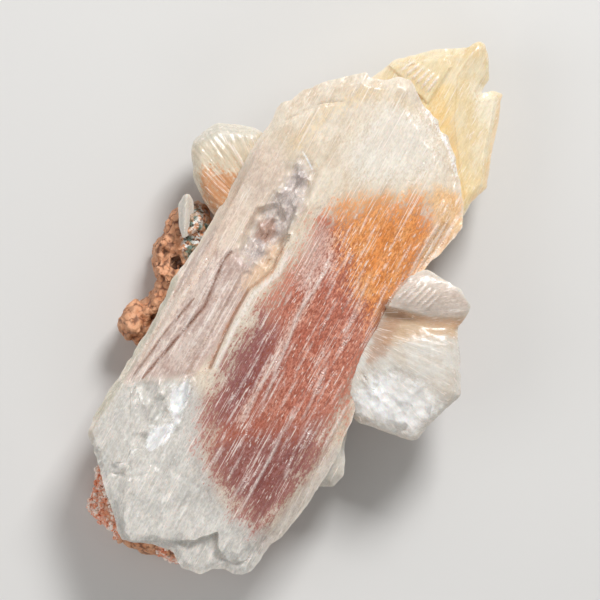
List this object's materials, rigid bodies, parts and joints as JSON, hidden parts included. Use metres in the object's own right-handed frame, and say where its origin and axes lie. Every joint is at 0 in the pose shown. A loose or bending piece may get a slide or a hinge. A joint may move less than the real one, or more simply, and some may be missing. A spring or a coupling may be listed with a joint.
{
  "type": "stilbite cluster",
  "caption": "Tabular stilbite crystal with an iron-red zone, ledged and striated, with smaller blades, a fan and a sheaf, on a flat-broken piece of brown matrix.",
  "frame": {"origin": "centre of the cluster's plan, on the surface that its flat-broken matrix rests on", "axes": "+Z out of the best side, +Y along the longest extent towards the golden tip, +X towards the right sheaf"},
  "size_m": [0.0628, 0.0806, 0.0214],
  "materials": {
    "stilbite_rose": "pearly, translucent, striated crystal face, cream with an iron-red zone",
    "stilbite_honey": "pearly, translucent honey-coloured crystal",
    "stilbite_pearl": "pearly white, translucent crystal, rough where it is broken",
    "stilbite_fan": "pearly white, translucent, striated crystal, orange at its root",
    "iron_stained_rock": "matt brown-orange rounded crust with green and white grains"
  },
  "bodies": {
    "root": {"main_blade": "stilbite_rose", "golden_tip": "stilbite_honey", "right_sheaf": "stilbite_pearl", "upper_left_fan": "stilbite_fan", "small_white_crystal": "stilbite_pearl", "lower_right_blade": "stilbite_pearl", "matrix": "iron_stained_rock"}
  },
  "joints": []
}
